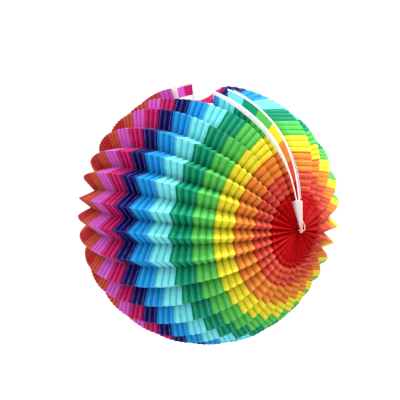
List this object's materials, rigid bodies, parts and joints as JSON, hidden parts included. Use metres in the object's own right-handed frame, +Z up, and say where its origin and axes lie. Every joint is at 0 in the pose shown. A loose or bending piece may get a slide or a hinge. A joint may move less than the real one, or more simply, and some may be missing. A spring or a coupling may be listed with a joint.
{
  "type": "concertina paper ball lantern",
  "caption": "Round paper lantern in rainbow bands, pleated from pole to pole, that opens like a fan from a flat half-moon into a ball with a light opening on top.",
  "frame": {"origin": "centre of the open ball", "axes": "+X along the pole axis to the red pole, +Z up through the seam between the two end cards, where the light opening is"},
  "size_m": [0.2348, 0.2498, 0.2505],
  "materials": {
    "paper": "matte crimped paper, printed in bands from red through yellow, green, blue and navy to magenta, orchid and dark red; white on the reverse",
    "card": "uncoated white card, printed in the same bands on the seam side",
    "thread": "waxed cotton thread"
  },
  "bodies": {
    "front_end": {"front_card": "card", "front_end_face": "paper", "right_pole_thread": "thread", "left_pole_thread": "thread"},
    "pleat_01": {"pleat_01": "paper"},
    "pleat_02": {"pleat_02": "paper"},
    "pleat_03": {"pleat_03": "paper"},
    "pleat_04": {"pleat_04": "paper"},
    "pleat_05": {"pleat_05": "paper"},
    "pleat_06": {"pleat_06": "paper"},
    "pleat_07": {"pleat_07": "paper"},
    "pleat_08": {"pleat_08": "paper"},
    "pleat_09": {"pleat_09": "paper"},
    "pleat_10": {"pleat_10": "paper"},
    "pleat_11": {"pleat_11": "paper"},
    "pleat_12": {"pleat_12": "paper"},
    "pleat_13": {"pleat_13": "paper"},
    "pleat_14": {"pleat_14": "paper"},
    "pleat_15": {"pleat_15": "paper"},
    "pleat_16": {"pleat_16": "paper"},
    "pleat_17": {"pleat_17": "paper"},
    "pleat_18": {"pleat_18": "paper"},
    "pleat_19": {"pleat_19": "paper"},
    "pleat_20": {"pleat_20": "paper"},
    "pleat_21": {"pleat_21": "paper"},
    "pleat_22": {"pleat_22": "paper"},
    "pleat_23": {"pleat_23": "paper"},
    "pleat_24": {"pleat_24": "paper"},
    "pleat_25": {"pleat_25": "paper"},
    "pleat_26": {"pleat_26": "paper"},
    "pleat_27": {"pleat_27": "paper"},
    "rear_end": {"rear_card": "card", "rear_end_face": "paper"}
  },
  "joints": [
    {"name": "turn_01", "type": "hinge", "parent": "front_end", "child": "pleat_01", "pos_m": [0, 0, 0], "axis": [-1, 0, 0], "range_deg": [0, 8.1], "deforming": ["pleat_01"]},
    {"name": "turn_02", "type": "hinge", "parent": "front_end", "child": "pleat_02", "pos_m": [0, 0, 0], "axis": [-1, 0, 0], "range_deg": [0, 18.28], "deforming": ["pleat_02"]},
    {"name": "turn_03", "type": "hinge", "parent": "front_end", "child": "pleat_03", "pos_m": [0, 0, 0], "axis": [-1, 0, 0], "range_deg": [0, 30.37], "deforming": ["pleat_03"]},
    {"name": "turn_04", "type": "hinge", "parent": "front_end", "child": "pleat_04", "pos_m": [0, 0, 0], "axis": [-1, 0, 0], "range_deg": [0, 41.28], "deforming": ["pleat_04"]},
    {"name": "turn_05", "type": "hinge", "parent": "front_end", "child": "pleat_05", "pos_m": [0, 0, 0], "axis": [-1, 0, 0], "range_deg": [0, 51.72], "deforming": ["pleat_05"]},
    {"name": "turn_06", "type": "hinge", "parent": "front_end", "child": "pleat_06", "pos_m": [0, 0, 0], "axis": [-1, 0, 0], "range_deg": [0, 63.84], "deforming": ["pleat_06"]},
    {"name": "turn_07", "type": "hinge", "parent": "front_end", "child": "pleat_07", "pos_m": [0, 0, 0], "axis": [-1, 0, 0], "range_deg": [0, 74.1], "deforming": ["pleat_07"]},
    {"name": "turn_08", "type": "hinge", "parent": "front_end", "child": "pleat_08", "pos_m": [0, 0, 0], "axis": [-1, 0, 0], "range_deg": [0, 85.1], "deforming": ["pleat_08"]},
    {"name": "turn_09", "type": "hinge", "parent": "front_end", "child": "pleat_09", "pos_m": [0, 0, 0], "axis": [-1, 0, 0], "range_deg": [0, 96.95], "deforming": ["pleat_09"]},
    {"name": "turn_10", "type": "hinge", "parent": "front_end", "child": "pleat_10", "pos_m": [0, 0, 0], "axis": [-1, 0, 0], "range_deg": [0, 106.93], "deforming": ["pleat_10"]},
    {"name": "turn_11", "type": "hinge", "parent": "front_end", "child": "pleat_11", "pos_m": [0, 0, 0], "axis": [-1, 0, 0], "range_deg": [0, 118.6], "deforming": ["pleat_11"]},
    {"name": "turn_12", "type": "hinge", "parent": "front_end", "child": "pleat_12", "pos_m": [0, 0, 0], "axis": [-1, 0, 0], "range_deg": [0, 129.97], "deforming": ["pleat_12"]},
    {"name": "turn_13", "type": "hinge", "parent": "front_end", "child": "pleat_13", "pos_m": [0, 0, 0], "axis": [-1, 0, 0], "range_deg": [0, 140.15], "deforming": ["pleat_13"]},
    {"name": "turn_14", "type": "hinge", "parent": "front_end", "child": "pleat_14", "pos_m": [0, 0, 0], "axis": [-1, 0, 0], "range_deg": [0, 151.99], "deforming": ["pleat_14"]},
    {"name": "turn_15", "type": "hinge", "parent": "front_end", "child": "pleat_15", "pos_m": [0, 0, 0], "axis": [-1, 0, 0], "range_deg": [0, 163.83], "deforming": ["pleat_15"]},
    {"name": "turn_16", "type": "hinge", "parent": "front_end", "child": "pleat_16", "pos_m": [0, 0, 0], "axis": [-1, 0, 0], "range_deg": [0, 175.66], "deforming": ["pleat_16"]},
    {"name": "turn_17", "type": "hinge", "parent": "front_end", "child": "pleat_17", "pos_m": [0, 0, 0], "axis": [-1, 0, 0], "range_deg": [0, 187.5], "deforming": ["pleat_17"]},
    {"name": "turn_18", "type": "hinge", "parent": "front_end", "child": "pleat_18", "pos_m": [0, 0, 0], "axis": [-1, 0, 0], "range_deg": [0, 199.34], "deforming": ["pleat_18"]},
    {"name": "turn_19", "type": "hinge", "parent": "front_end", "child": "pleat_19", "pos_m": [0, 0, 0], "axis": [-1, 0, 0], "range_deg": [0, 211.18], "deforming": ["pleat_19"]},
    {"name": "turn_20", "type": "hinge", "parent": "front_end", "child": "pleat_20", "pos_m": [0, 0, 0], "axis": [-1, 0, 0], "range_deg": [0, 223.02], "deforming": ["pleat_20"]},
    {"name": "turn_21", "type": "hinge", "parent": "front_end", "child": "pleat_21", "pos_m": [0, 0, 0], "axis": [-1, 0, 0], "range_deg": [0, 234.85], "deforming": ["pleat_21"]},
    {"name": "turn_22", "type": "hinge", "parent": "front_end", "child": "pleat_22", "pos_m": [0, 0, 0], "axis": [-1, 0, 0], "range_deg": [0, 246.69], "deforming": ["pleat_22"]},
    {"name": "turn_23", "type": "hinge", "parent": "front_end", "child": "pleat_23", "pos_m": [0, 0, 0], "axis": [-1, 0, 0], "range_deg": [0, 261.96], "deforming": ["pleat_23"]},
    {"name": "turn_24", "type": "hinge", "parent": "front_end", "child": "pleat_24", "pos_m": [0, 0, 0], "axis": [-1, 0, 0], "range_deg": [0, 275.26], "deforming": ["pleat_24"]},
    {"name": "turn_25", "type": "hinge", "parent": "front_end", "child": "pleat_25", "pos_m": [0, 0, 0], "axis": [-1, 0, 0], "range_deg": [0, 291.02], "deforming": ["pleat_25"]},
    {"name": "turn_26", "type": "hinge", "parent": "front_end", "child": "pleat_26", "pos_m": [0, 0, 0], "axis": [-1, 0, 0], "range_deg": [0, 306.78], "deforming": ["pleat_26"]},
    {"name": "turn_27", "type": "hinge", "parent": "front_end", "child": "pleat_27", "pos_m": [0, 0, 0], "axis": [-1, 0, 0], "range_deg": [0, 318.11], "deforming": ["pleat_27"]},
    {"name": "closing", "type": "hinge", "parent": "front_end", "child": "rear_end", "pos_m": [0, 0, 0], "axis": [-1, 0, 0], "range_deg": [0, 342.68]}
  ],
  "couplings": [
    {"joint": "turn_01", "follows": "closing", "ratio": 0.023628},
    {"joint": "turn_02", "follows": "closing", "ratio": 0.053344},
    {"joint": "turn_03", "follows": "closing", "ratio": 0.08863},
    {"joint": "turn_04", "follows": "closing", "ratio": 0.12046},
    {"joint": "turn_05", "follows": "closing", "ratio": 0.15091},
    {"joint": "turn_06", "follows": "closing", "ratio": 0.18631},
    {"joint": "turn_07", "follows": "closing", "ratio": 0.21623},
    {"joint": "turn_08", "follows": "closing", "ratio": 0.24833},
    {"joint": "turn_09", "follows": "closing", "ratio": 0.28293},
    {"joint": "turn_10", "follows": "closing", "ratio": 0.31204},
    {"joint": "turn_11", "follows": "closing", "ratio": 0.34609},
    {"joint": "turn_12", "follows": "closing", "ratio": 0.37927},
    {"joint": "turn_13", "follows": "closing", "ratio": 0.40898},
    {"joint": "turn_14", "follows": "closing", "ratio": 0.44353},
    {"joint": "turn_15", "follows": "closing", "ratio": 0.47807},
    {"joint": "turn_16", "follows": "closing", "ratio": 0.51262},
    {"joint": "turn_17", "follows": "closing", "ratio": 0.54716},
    {"joint": "turn_18", "follows": "closing", "ratio": 0.58171},
    {"joint": "turn_19", "follows": "closing", "ratio": 0.61625},
    {"joint": "turn_20", "follows": "closing", "ratio": 0.6508},
    {"joint": "turn_21", "follows": "closing", "ratio": 0.68534},
    {"joint": "turn_22", "follows": "closing", "ratio": 0.71989},
    {"joint": "turn_23", "follows": "closing", "ratio": 0.76445},
    {"joint": "turn_24", "follows": "closing", "ratio": 0.80325},
    {"joint": "turn_25", "follows": "closing", "ratio": 0.84924},
    {"joint": "turn_26", "follows": "closing", "ratio": 0.89523},
    {"joint": "turn_27", "follows": "closing", "ratio": 0.92829}
  ]
}
